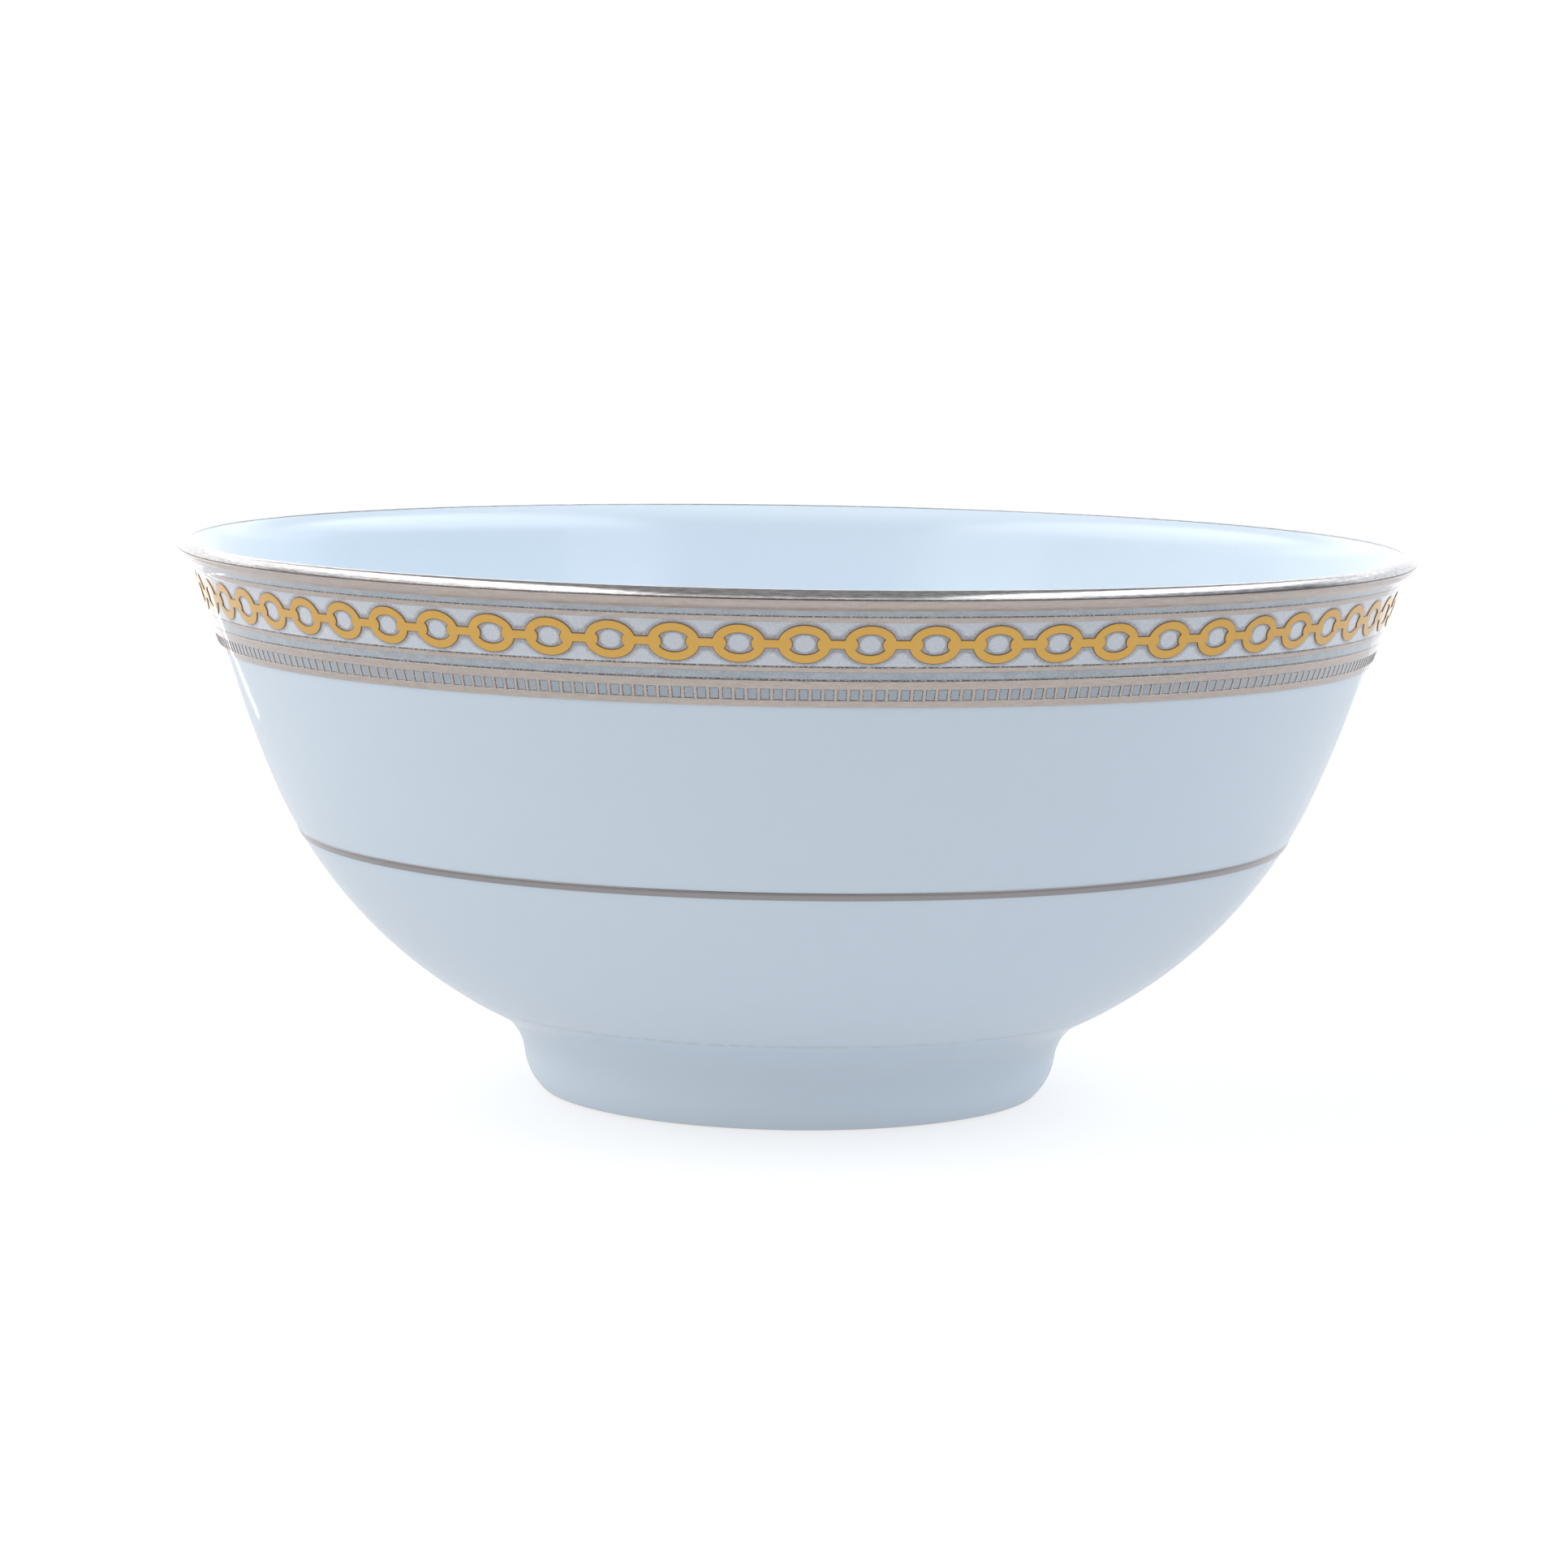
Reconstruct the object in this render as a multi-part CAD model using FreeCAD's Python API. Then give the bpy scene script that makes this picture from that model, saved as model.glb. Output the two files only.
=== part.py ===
"""Footed porcelain serving bowl with a banded rim, built in the layers the real one is made of.

Millimetres, +Z up. The origin is the centre of the standing ring, on the table.
Every piece is a solid of revolution about Z, or is cut from one. Sections are drawn in the plane
of radius and height. A section follows the glazed skin of the bowl, and each layer lies at a
stated lift above that skin: decoration has a positive lift, and the clay lies under the glaze.
"""
import FreeCAD, Part
import math
import os

# The vessel
RIM_RADIUS = 114.0            # widest point of the lip, over the glaze
BOWL_HEIGHT = 102.3           # table to the crest of the lip
WALL = 3.0                    # wall and lip, glazed on both sides
GLAZE = 0.25
LIP_LEAN = 30.0               # slope of the flare where it meets the rounded lip, degrees
FLARE_RADIUS = 5.0            # hollow curve under the lip
WALL_LEAN = 73.0              # slope of the wall where the flare begins, degrees
BELLY_LEAN = 66.0             # slope where the full belly runs into the straighter wall, degrees
FLOOR_LEAN = 17.0             # slope where the floor has turned up into the belly, degrees
FLOOR_HEIGHT = 8.8            # table to the underside of the floor, over its glaze
FLOOR_RADIUS = 34.0           # flat part of the floor
FLOOR_TURN_RADIUS = 30.0      # curve from the flat floor up to the belly

# The foot
FOOT_RADIUS = 49.8            # widest point of the foot, over the glaze
FOOT_WALL = 8.2               # widest point of the foot to its inner wall, bare clay
FOOT_SIDE_RADIUS = 10.0       # swell of the foot's side
FOOT_TOE_RADIUS = 3.0         # rounding under the side
FOOT_TOE_LEAN = 45.0          # slope where the toe runs into the side, degrees
FOOT_INNER_BEVEL = 1.0        # bevel inside the standing ring
FILLET_RADIUS = 11.0          # hollow curve of slip between the foot and the bowl
SLIP_EDGE = 0.1               # thickness at which the slip is sponged off
TOE_GLAZE_LEAN = 38.0         # slope at which the outside glaze stops above the standing ring
WELL_GLAZE_STOP = 1.6         # height at which the glaze inside the foot stops

# Rim decoration, as widths along the skin, from the crest of the lip downwards
FILM = 0.08                   # one printed or brushed layer
LIP_BAND_OVERLAP = 0.5        # lip band inside the crest
LIP_BAND = 2.35
WIDE_BAND = 2.4
UPPER_STRIPE = 1.3
KEYLINE = 0.3
UPPER_LINE = 0.95
CHAIN_GROUND = 7.8
LOWER_LINE = 0.75
LOWER_STRIPE = 1.3
UPPER_RAIL = 1.45
LADDER_WINDOW = 2.05
LOWER_RAIL = 1.2

# Gold chain
LINK_COUNT = 64
CHAIN_PHASE = 0.75            # turn of the first link from the front, degrees
LINK_LENGTH = 8.65
LINK_HEIGHT = 6.6
LINK_OPENING_LENGTH = 5.7
LINK_OPENING_HEIGHT = 3.85
BAR_WIDTH = 1.4
BAR_END_RADIUS = 1.2          # round end of a bar, seen inside the link
BAR_END_REACH = 1.05          # link's end to the centre of that round end
OUTLINE = 0.13                # printed outline showing round the gold

# Ladder band
WINDOWS_PER_LINK = 5
RUNG_WIDTH = 0.5

# Belly line
BELLY_LINE_HEIGHT = 49.0      # table to the middle of the line
BELLY_LINE = 1.45

FOOT_INNER_RADIUS = FOOT_RADIUS - FOOT_WALL
NECK_COVER = 2 * SLIP_EDGE    # least slip over the neck of the foot
LEAST_SHARE = 1e-9            # a shorter share of a segment is left out
LAYER_SECTORS = 20            # faces round a thin layer, so that both its sides facet alike
LAYER_TURN = 10.0             # most that one face of a thin layer turns along the section, degrees
AXIS_POINT = FreeCAD.Vector(0, 0, 0)
AXIS = FreeCAD.Vector(0, 0, 1)


def vec(point):
    """A section point, radius and height, as a point in space."""
    return FreeCAD.Vector(point[0], 0, point[1])


def polar(centre, radius, angle):
    turn = math.radians(angle)
    return (centre[0] + radius * math.cos(turn), centre[1] + radius * math.sin(turn))


def line_edge(start, end):
    return Part.LineSegment(vec(start), vec(end)).toShape()


class Arc:
    """A round stretch of skin. Angles are in degrees about the centre; a hollow stretch has its
    centre on the open side of the skin."""

    def __init__(self, centre, radius, start, end, hollow=False):
        self.centre = centre
        self.radius = radius
        self.start = start
        self.end = end
        self.outward = -1 if hollow else 1
        self.length = abs(math.radians(end - start)) * radius

    def point(self, part, lift=0.0):
        angle = self.start + part * (self.end - self.start)
        return polar(self.centre, self.radius + self.outward * lift, angle)

    def edge(self, lift, first=0.0, last=1.0):
        points = [self.point(part, lift) for part in (first, (first + last) / 2, last)]
        return Part.Arc(*[vec(point) for point in points]).toShape()

    def edges(self, lift, first, last):
        """The stretch as short arcs, none of which turns far."""
        count = math.ceil(abs(self.end - self.start) * (last - first) / LAYER_TURN)
        stops = [first + (last - first) * step / count for step in range(count + 1)]
        return [self.edge(lift, *pair) for pair in zip(stops, stops[1:])]

    def part_at_radius(self, radius, lift):
        """Where the lifted arc, below its centre, passes a given radius."""
        reach = self.radius + self.outward * lift
        across = max(-1.0, min(1.0, (radius - self.centre[0]) / reach))
        angle = -math.degrees(math.acos(across))
        return (angle - self.start) / (self.end - self.start)

    def part_at_height(self, height):
        angle = -math.degrees(math.asin((self.centre[1] - height) / self.radius))
        return (angle - self.start) / (self.end - self.start)


class Flat:
    """A straight stretch of skin with its outward normal."""

    def __init__(self, start, end, normal):
        self.ends = (start, end)
        self.normal = normal
        self.length = math.dist(start, end)

    def point(self, part, lift=0.0):
        return tuple(a + part * (b - a) + lift * n
                     for a, b, n in zip(self.ends[0], self.ends[1], self.normal))

    def edge(self, lift, first=0.0, last=1.0):
        return line_edge(self.point(first, lift), self.point(last, lift))

    def part_at_radius(self, radius, lift):
        start, end = self.ends[0][0], self.ends[1][0]
        return (start - radius) / (start - end)


def outer_wall():
    """Skin from the crest of the lip down the outside and under the floor, to the axis."""
    lip = (RIM_RADIUS - WALL / 2, BOWL_HEIGHT - WALL / 2)
    lip_end = polar(lip, WALL / 2, LIP_LEAN - 90)
    flare_centre = polar(lip_end, FLARE_RADIUS, LIP_LEAN - 90)
    wall_top = polar(flare_centre, FLARE_RADIUS, WALL_LEAN + 90)
    turn_centre = (FLOOR_RADIUS, FLOOR_HEIGHT + FLOOR_TURN_RADIUS)
    belly_foot = polar(turn_centre, FLOOR_TURN_RADIUS, FLOOR_LEAN - 90)

    # Two tangent arcs join the floor's turn to the flare; their radii close the gap between them.
    floor_lean, belly_lean, wall_lean = (math.radians(lean)
                                         for lean in (FLOOR_LEAN, BELLY_LEAN, WALL_LEAN))
    belly_out = math.sin(belly_lean) - math.sin(floor_lean)
    belly_up = math.cos(floor_lean) - math.cos(belly_lean)
    wall_out = math.sin(wall_lean) - math.sin(belly_lean)
    wall_up = math.cos(belly_lean) - math.cos(wall_lean)
    out = wall_top[0] - belly_foot[0]
    up = wall_top[1] - belly_foot[1]
    shared = belly_out * wall_up - wall_out * belly_up
    belly_radius = (out * wall_up - wall_out * up) / shared
    wall_radius = (belly_out * up - belly_up * out) / shared
    belly_centre = polar(belly_foot, belly_radius, FLOOR_LEAN + 90)
    wall_centre = polar(wall_top, wall_radius, WALL_LEAN + 90)

    return {
        "lip": Arc(lip, WALL / 2, 90, LIP_LEAN - 90),
        "flare": Arc(flare_centre, FLARE_RADIUS, LIP_LEAN + 90, WALL_LEAN + 90, hollow=True),
        "wall": Arc(wall_centre, wall_radius, WALL_LEAN - 90, BELLY_LEAN - 90),
        "belly": Arc(belly_centre, belly_radius, BELLY_LEAN - 90, FLOOR_LEAN - 90),
        "turn": Arc(turn_centre, FLOOR_TURN_RADIUS, FLOOR_LEAN - 90, -90),
        "floor": Flat((FLOOR_RADIUS, FLOOR_HEIGHT), (0, FLOOR_HEIGHT), (0, -1)),
    }


def inner_wall(outer):
    """Skin from the crest of the lip down the inside to the axis, one wall in from the outside."""
    lip = outer["lip"]
    inside = [Arc(lip.centre, lip.radius, 90, LIP_LEAN + 90)]
    flare = outer["flare"]
    inside.append(Arc(flare.centre, flare.radius + WALL, flare.start, flare.end))
    for name in ("wall", "belly", "turn"):
        arc = outer[name]
        inside.append(Arc(arc.centre, arc.radius - WALL, arc.start, arc.end, hollow=True))
    height = FLOOR_HEIGHT + WALL
    inside.append(Flat((FLOOR_RADIUS, height), (0, height), (0, 1)))
    return inside


def foot_skin(belly):
    """The swelling side of the foot, its toe, and the hollow curve of slip over it. The clay
    under the glaze of the toe is what reaches the table. The side runs up under the slip to a
    shoulder that stands inside the neck of the hollow curve."""
    swell = FOOT_SIDE_RADIUS - FOOT_TOE_RADIUS
    side_centre = (FOOT_RADIUS - GLAZE - FOOT_SIDE_RADIUS,
                   FOOT_TOE_RADIUS + swell * math.sin(math.radians(90 - FOOT_TOE_LEAN)))
    toe_centre = polar(side_centre, swell, FOOT_TOE_LEAN - 90)
    slip = slip_curve(belly, side_centre)
    neck = slip.centre[0] - slip.radius - GLAZE - NECK_COVER - side_centre[0]
    shoulder = math.degrees(math.acos(neck / FOOT_SIDE_RADIUS))
    side = Arc(side_centre, FOOT_SIDE_RADIUS + GLAZE, shoulder, FOOT_TOE_LEAN - 90)
    toe = Arc(toe_centre, FOOT_TOE_RADIUS + GLAZE, FOOT_TOE_LEAN - 90, -90)
    return side, toe, slip


def slip_curve(belly, side_centre):
    """Hollow curve tangent to the belly above and to the side of the foot below."""
    reach_belly = belly.radius + FILLET_RADIUS
    reach_side = FOOT_SIDE_RADIUS + GLAZE + FILLET_RADIUS
    across = side_centre[0] - belly.centre[0]
    down = belly.centre[1] - side_centre[1]
    apart = math.hypot(across, down)
    along = (reach_belly ** 2 - reach_side ** 2 + apart ** 2) / (2 * apart)
    aside = math.sqrt(reach_belly ** 2 - along ** 2)
    unit = (across / apart, -down / apart)
    centre = (belly.centre[0] + along * unit[0] - aside * unit[1],
              belly.centre[1] + along * unit[1] + aside * unit[0])
    to_belly = math.degrees(math.atan2(belly.centre[1] - centre[1], belly.centre[0] - centre[0]))
    to_side = math.degrees(math.atan2(side_centre[1] - centre[1], side_centre[0] - centre[0]))
    return Arc(centre, FILLET_RADIUS, to_belly, to_side % 360, hollow=True)


def angle_of(centre, point):
    return math.degrees(math.atan2(point[1] - centre[1], point[0] - centre[0]))


def part_of(arc, point):
    """Where along an arc a point lies."""
    return (angle_of(arc.centre, point) - arc.start) / (arc.end - arc.start)


def revolve(edges):
    """Full turn of a closed section."""
    face = Part.Face(Part.Wire(Part.__sortEdges__(edges)))
    return face.revolve(AXIS_POINT, AXIS, 360)


def stretch(path, start, end):
    """The segments of a path between two distances along it, each with its share."""
    found = []
    passed = 0.0
    for segment in path:
        first = max(0.0, (start - passed) / segment.length)
        last = min(1.0, (end - passed) / segment.length)
        if last - first > LEAST_SHARE:
            found.append((segment, first, last))
        passed += segment.length
    return found


def layer_edges(path, start, end, low, high):
    """Closed section of a layer that follows a path between two lifts."""
    run = stretch(path, start, end)
    edges = []
    for segment, first, last in run:
        edges += segment.edges(low, first, last) + segment.edges(high, first, last)
    for segment, part in ((run[0][0], run[0][1]), (run[-1][0], run[-1][2])):
        edges.append(line_edge(segment.point(part, low), segment.point(part, high)))
    return edges


def layer(path, start, end, low, high):
    """Full turn of a layer, sewn from even sectors."""
    outline = Part.Wire(Part.__sortEdges__(layer_edges(path, start, end, low, high)))
    sector = 360 / LAYER_SECTORS
    faces = []
    for index in range(LAYER_SECTORS):
        skin = outline.revolve(AXIS_POINT, AXIS, sector)
        skin.rotate(AXIS_POINT, AXIS, index * sector)
        faces += skin.Faces
    sewn = Part.Compound(faces)
    sewn.sewShape()
    solid = Part.Solid(sewn.Shells[0])
    if solid.Volume < 0:
        solid.reverse()
    return solid


def path_point(path, distance):
    """The segment at a distance along a path, and its share there."""
    passed = 0.0
    for segment in path:
        if distance <= passed + segment.length:
            return segment, (distance - passed) / segment.length
        passed += segment.length
    return path[-1], 1.0


def bowl_body(outer, inner):
    clay = [segment.edge(-GLAZE) for segment in outer.values()]
    clay += [segment.edge(-GLAZE) for segment in inner]
    floor = outer["floor"].point(1.0, -GLAZE)
    clay.append(line_edge(floor, inner[-1].point(1.0, -GLAZE)))
    return revolve(clay)


def underside(outer, lift, widest, narrowest):
    """Edges of the lifted underside of the bowl between two radii, and its two end points."""
    edges = []
    ends = []
    for name in ("belly", "turn", "floor"):
        segment = outer[name]
        first = max(0.0, segment.part_at_radius(widest, lift))
        last = min(1.0, segment.part_at_radius(narrowest, lift))
        if last - first > LEAST_SHARE:
            edges.append(segment.edge(lift, first, last))
            ends += [segment.point(first, lift), segment.point(last, lift)]
    return edges, ends[0], ends[-1]


def foot_ring(outer, side, toe):
    """Ring of clay whose top is cut to the underside of the bowl."""
    clay_radius = side.point(0.0, -GLAZE)[0]
    top, top_outer, top_inner = underside(outer, -GLAZE, clay_radius, FOOT_INNER_RADIUS)
    land_inner = (FOOT_INNER_RADIUS + FOOT_INNER_BEVEL, 0)
    bevel_top = (FOOT_INNER_RADIUS, FOOT_INNER_BEVEL)
    return revolve([
        side.edge(-GLAZE),
        toe.edge(-GLAZE),
        line_edge(toe.point(1.0, -GLAZE), land_inner),
        line_edge(land_inner, bevel_top),
        line_edge(bevel_top, top_inner),
        line_edge(top_outer, side.point(0.0, -GLAZE)),
    ] + top)


def slip_ends(outer, side, slip):
    """Points where the slip is sponged off: on the belly and on the foot, each with the point
    of the hollow curve over it."""
    ends = []
    for arc, tangent, inwards in ((outer["belly"], slip.start, 1), (side, slip.end, -1)):
        bend = 1 / (slip.radius + GLAZE) + 1 / (arc.radius - GLAZE)
        run = math.sqrt(2 * SLIP_EDGE / bend)
        angle = tangent + inwards * math.degrees(run / (slip.radius + GLAZE))
        over = polar(slip.centre, slip.radius + GLAZE, angle)
        under = polar(arc.centre, arc.radius - GLAZE, angle_of(arc.centre, over))
        ends.append((under, over))
    return ends


def luting_slip(outer, side, slip):
    """Ring of slip in the corner between the foot and the bowl."""
    (belly_under, belly_over), (foot_under, foot_over) = slip_ends(outer, side, slip)
    shoulder = side.point(0.0, -GLAZE)
    over, over_outer, over_inner = underside(outer, -GLAZE, belly_under[0], shoulder[0])
    return revolve([
        slip.edge(-GLAZE, part_of_turn(slip, belly_over), part_of_turn(slip, foot_over)),
        line_edge(foot_over, foot_under),
        side.edge(-GLAZE, 0.0, part_of(side, foot_under)),
        line_edge(shoulder, over_inner),
        line_edge(over_outer, belly_over),
    ] + over)


def part_of_turn(arc, point):
    """Where along an arc past the half turn a point lies."""
    return (angle_of(arc.centre, point) % 360 - arc.start) / (arc.end - arc.start)


def glaze_coat(outer, inner, side, toe, slip):
    """One coat from the toe of the foot, over the lip, to the middle of the floor inside."""
    belly = outer["belly"]
    (belly_under, belly_over), (foot_under, foot_over) = slip_ends(outer, side, slip)
    stop = (TOE_GLAZE_LEAN - 90 - toe.start) / (toe.end - toe.start)
    belly_touch = (slip.start - 180 - belly.start) / (belly.end - belly.start)
    side_touch = (slip.end - 180 - side.start) / (side.end - side.start)
    shared = [segment.edge(lift) for segment in inner for lift in (0, -GLAZE)]
    shared += [outer[name].edge(lift) for name in ("lip", "flare", "wall") for lift in (0, -GLAZE)]
    skin = [
        belly.edge(0, 0.0, belly_touch),
        slip.edge(0),
        side.edge(0, side_touch, 1.0),
        toe.edge(0, 0.0, stop),
    ]
    clay = [
        belly.edge(-GLAZE, 0.0, part_of(belly, belly_under)),
        line_edge(belly_under, belly_over),
        slip.edge(-GLAZE, part_of_turn(slip, belly_over), part_of_turn(slip, foot_over)),
        line_edge(foot_over, foot_under),
        side.edge(-GLAZE, part_of(side, foot_under), 1.0),
        toe.edge(-GLAZE, 0.0, stop),
    ]
    ends = [
        line_edge(toe.point(stop, 0), toe.point(stop, -GLAZE)),
        line_edge(inner[-1].point(1.0, 0), inner[-1].point(1.0, -GLAZE)),
    ]
    return revolve(shared + skin + clay + ends)


def foot_well_glaze(outer):
    """Glaze inside the foot: under the floor and down the inner wall, clear of the table."""
    inner_radius = FOOT_INNER_RADIUS - GLAZE
    clay, clay_corner, clay_middle = underside(outer, -GLAZE, FOOT_INNER_RADIUS, 0)
    skin, skin_corner, skin_middle = underside(outer, 0, inner_radius, 0)
    clay_foot = (FOOT_INNER_RADIUS, WELL_GLAZE_STOP)
    skin_foot = (inner_radius, WELL_GLAZE_STOP)
    return revolve([
        line_edge(clay_middle, skin_middle),
        line_edge(clay_corner, clay_foot),
        line_edge(clay_foot, skin_foot),
        line_edge(skin_foot, skin_corner),
    ] + clay + skin)


def banding_path(outer, inner):
    """Skin from just inside the lip down the outside: the lip band starts inside the crest."""
    lip = inner[0]
    overlap = LIP_BAND_OVERLAP / lip.length
    inside = Arc(lip.centre, lip.radius, lip.start + overlap * (lip.end - lip.start), lip.start)
    return [inside] + [outer[name] for name in ("lip", "flare", "wall", "belly")]


def ring_layers(path):
    """The plain rings of the rim decoration, stacked down the skin from the crest. Each is a
    name, its width and its thickness in films."""
    rings = (
        ("lip_band", LIP_BAND_OVERLAP + LIP_BAND, 2),
        ("wide_band", WIDE_BAND, 1),
        ("upper_stripe", UPPER_STRIPE, 1),
        ("upper_keyline", KEYLINE, 1),
        ("upper_line", UPPER_LINE, 1),
        ("chain_ground", CHAIN_GROUND, 1),
        ("middle_keyline", KEYLINE, 1),
        ("lower_line", LOWER_LINE, 1),
        ("lower_stripe", LOWER_STRIPE, 1),
        ("lower_keyline", KEYLINE, 1),
        ("ladder_upper_rail", UPPER_RAIL, 2),
        ("ladder_ground", LADDER_WINDOW, 1),
        ("ladder_lower_rail", LOWER_RAIL, 2),
    )
    nodes = {}
    spans = {}
    start = 0.0
    for name, width, films in rings:
        nodes[name] = layer(path, start, start + width, 0, films * FILM)
        spans[name] = (start, start + width)
        start += width
    return nodes, spans


def patch(path, start, end, low, high, angle):
    """A layer that spans one angle, centred on the front."""
    face = Part.Face(Part.Wire(Part.__sortEdges__(layer_edges(path, start, end, low, high))))
    solid = face.revolve(AXIS_POINT, AXIS, angle)
    solid.rotate(AXIS_POINT, AXIS, -90 - angle / 2)
    return solid


def ring_of(solid, count, phase):
    """Copies of a solid all round the axis, as separate solids."""
    copies = []
    for index in range(count):
        copy = solid.copy()
        copy.rotate(AXIS_POINT, AXIS, phase + index * 360 / count)
        copies.append(copy)
    return Part.makeCompound(copies)


def link_prism(grow, depth):
    """One link with the round ends of the bars in its opening and half a bar on each side, drawn
    flat about its middle, grown on every edge and raised to a depth on both sides."""
    rise = FreeCAD.Vector(0, 0, 2 * depth)
    base = FreeCAD.Vector(0, 0, -depth)

    def oval(length, height):
        half = (max(length, height) / 2, min(length, height) / 2)
        solid = Part.Face(Part.Wire(Part.Ellipse(base, *half).toShape())).extrude(rise)
        if height > length:
            solid.rotate(AXIS_POINT, AXIS, 90)
        return solid

    outside = oval(LINK_LENGTH + 2 * grow, LINK_HEIGHT + 2 * grow)
    link = outside.cut(oval(LINK_OPENING_LENGTH - 2 * grow, LINK_OPENING_HEIGHT - 2 * grow))
    bar_length = BAR_END_REACH + 2 * math.pi * RIM_RADIUS / LINK_COUNT - LINK_LENGTH
    bar_width = BAR_WIDTH + 2 * grow
    for hand in (-1, 1):
        end_middle = hand * (LINK_LENGTH / 2 - BAR_END_REACH)
        end = Part.makeCylinder(BAR_END_RADIUS + grow, 2 * depth,
                                FreeCAD.Vector(end_middle, 0, -depth))
        bar_start = FreeCAD.Vector(min(end_middle, end_middle + hand * bar_length),
                                   -bar_width / 2, -depth)
        bar = Part.makeBox(bar_length, bar_width, 2 * depth, bar_start)
        link = link.fuse([end, bar])
    return link.removeSplitter()


def chain(path, span, low, grow):
    """One printed layer of the chain: every link is a solid that ends halfway along its bars."""
    middle = (span[0] + span[1]) / 2
    half = LINK_HEIGHT / 2 + grow + FILM
    segment, part = path_point(path, middle)
    point = segment.point(part)
    above = segment.point(part, 1.0)
    along = FreeCAD.Vector(1, 0, 0)
    normal = FreeCAD.Vector(0, point[0] - above[0], above[1] - point[1])
    cutter = link_prism(grow, LINK_HEIGHT / 2)
    cutter.Placement = FreeCAD.Placement(FreeCAD.Vector(0, -point[0], point[1]),
                                         FreeCAD.Rotation(along, normal.cross(along), normal))
    film = patch(path, middle - half, middle + half, low, low + FILM, 360 / LINK_COUNT)
    return ring_of(film.common(cutter), LINK_COUNT, CHAIN_PHASE)


def ladder_rungs(path, span):
    """Short rungs across the windows of the ladder band, between its rails."""
    segment, part = path_point(path, span[0])
    radius = segment.point(part)[0]
    count = LINK_COUNT * WINDOWS_PER_LINK
    angle = math.degrees(RUNG_WIDTH / radius)
    rung = patch(path, span[0], span[1], FILM, 2 * FILM, angle)
    return ring_of(rung, count, CHAIN_PHASE + 180 / count)


def belly_line(path, outer):
    """Brushed line round the belly."""
    reach = LIP_BAND_OVERLAP + outer["lip"].length + outer["flare"].length + outer["wall"].length
    belly = outer["belly"]
    middle = reach + belly.part_at_height(BELLY_LINE_HEIGHT) * belly.length
    return layer(path, middle - BELLY_LINE / 2, middle + BELLY_LINE / 2, 0, 2 * FILM)


def build():
    outer = outer_wall()
    inner = inner_wall(outer)
    side, toe, slip = foot_skin(outer["belly"])
    path = banding_path(outer, inner)
    nodes, spans = ring_layers(path)
    nodes["bowl_body"] = bowl_body(outer, inner)
    nodes["foot_ring"] = foot_ring(outer, side, toe)
    nodes["luting_slip"] = luting_slip(outer, side, slip)
    nodes["glaze_coat"] = glaze_coat(outer, inner, side, toe, slip)
    nodes["foot_well_glaze"] = foot_well_glaze(outer)
    nodes["chain_outline"] = chain(path, spans["chain_ground"], FILM, OUTLINE)
    nodes["gold_chain"] = chain(path, spans["chain_ground"], 2 * FILM, 0)
    nodes["ladder_rungs"] = ladder_rungs(path, spans["ladder_ground"])
    nodes["belly_line"] = belly_line(path, outer)
    return nodes


os.makedirs("parts", exist_ok=True)
for name, shape in build().items():
    shape.exportStep(f"parts/{name}.step")
    print(f"{name}: {len(shape.Solids)} solids, {shape.Volume:.1f} mm3")
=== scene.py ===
import math

import bmesh
import bpy
from mathutils import Matrix, Vector


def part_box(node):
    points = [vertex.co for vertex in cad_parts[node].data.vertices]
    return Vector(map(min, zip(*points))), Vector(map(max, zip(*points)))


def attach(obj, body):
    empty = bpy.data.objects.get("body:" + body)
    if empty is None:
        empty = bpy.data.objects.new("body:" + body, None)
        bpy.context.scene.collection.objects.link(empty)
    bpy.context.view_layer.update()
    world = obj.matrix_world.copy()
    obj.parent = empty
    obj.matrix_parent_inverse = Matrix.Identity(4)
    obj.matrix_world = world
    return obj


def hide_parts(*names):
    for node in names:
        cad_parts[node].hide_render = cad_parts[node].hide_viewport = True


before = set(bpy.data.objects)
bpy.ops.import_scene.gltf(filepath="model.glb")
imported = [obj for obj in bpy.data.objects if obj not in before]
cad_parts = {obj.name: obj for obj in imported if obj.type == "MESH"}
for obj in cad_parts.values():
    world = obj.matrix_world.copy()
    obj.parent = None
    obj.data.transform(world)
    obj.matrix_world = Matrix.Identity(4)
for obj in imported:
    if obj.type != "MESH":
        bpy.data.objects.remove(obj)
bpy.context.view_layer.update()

MM = 0.001

# Sizes that the frame's boxes give
RIM_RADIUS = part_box("glaze_coat")[1].x
BOWL_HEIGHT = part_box("glaze_coat")[1].z
GLAZE = BOWL_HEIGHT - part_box("bowl_body")[1].z
FLOOR_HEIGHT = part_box("bowl_body")[0].z - GLAZE
FOOT_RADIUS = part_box("foot_ring")[1].x + GLAZE
FOOT_INNER_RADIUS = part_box("foot_well_glaze")[1].x
WELL_GLAZE_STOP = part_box("foot_well_glaze")[0].z
TOE_GLAZE_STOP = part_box("glaze_coat")[0].z

# Curves of the turned section: radii in metres, slopes in degrees
WALL = 3.0 * MM
LIP_LEAN = 30.0
FLARE_RADIUS = 5.0 * MM
WALL_LEAN = 73.0
BELLY_LEAN = 66.0
FLOOR_LEAN = 17.0
FLOOR_RADIUS = 34.0 * MM
FLOOR_TURN_RADIUS = 30.0 * MM
FOOT_SIDE_RADIUS = 10.0 * MM
FOOT_TOE_RADIUS = 3.0 * MM
FOOT_TOE_LEAN = 45.0
FOOT_INNER_BEVEL = 1.0 * MM
BEVEL_SOFT = 0.12 * MM        # rounding of that bevel's two edges
WELL_CORNER = 0.6 * MM        # rounding of the glaze where the foot meets the floor
FILLET_RADIUS = 11.0 * MM
NECK_COVER = 0.2 * MM         # least slip over the neck of the foot

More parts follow.
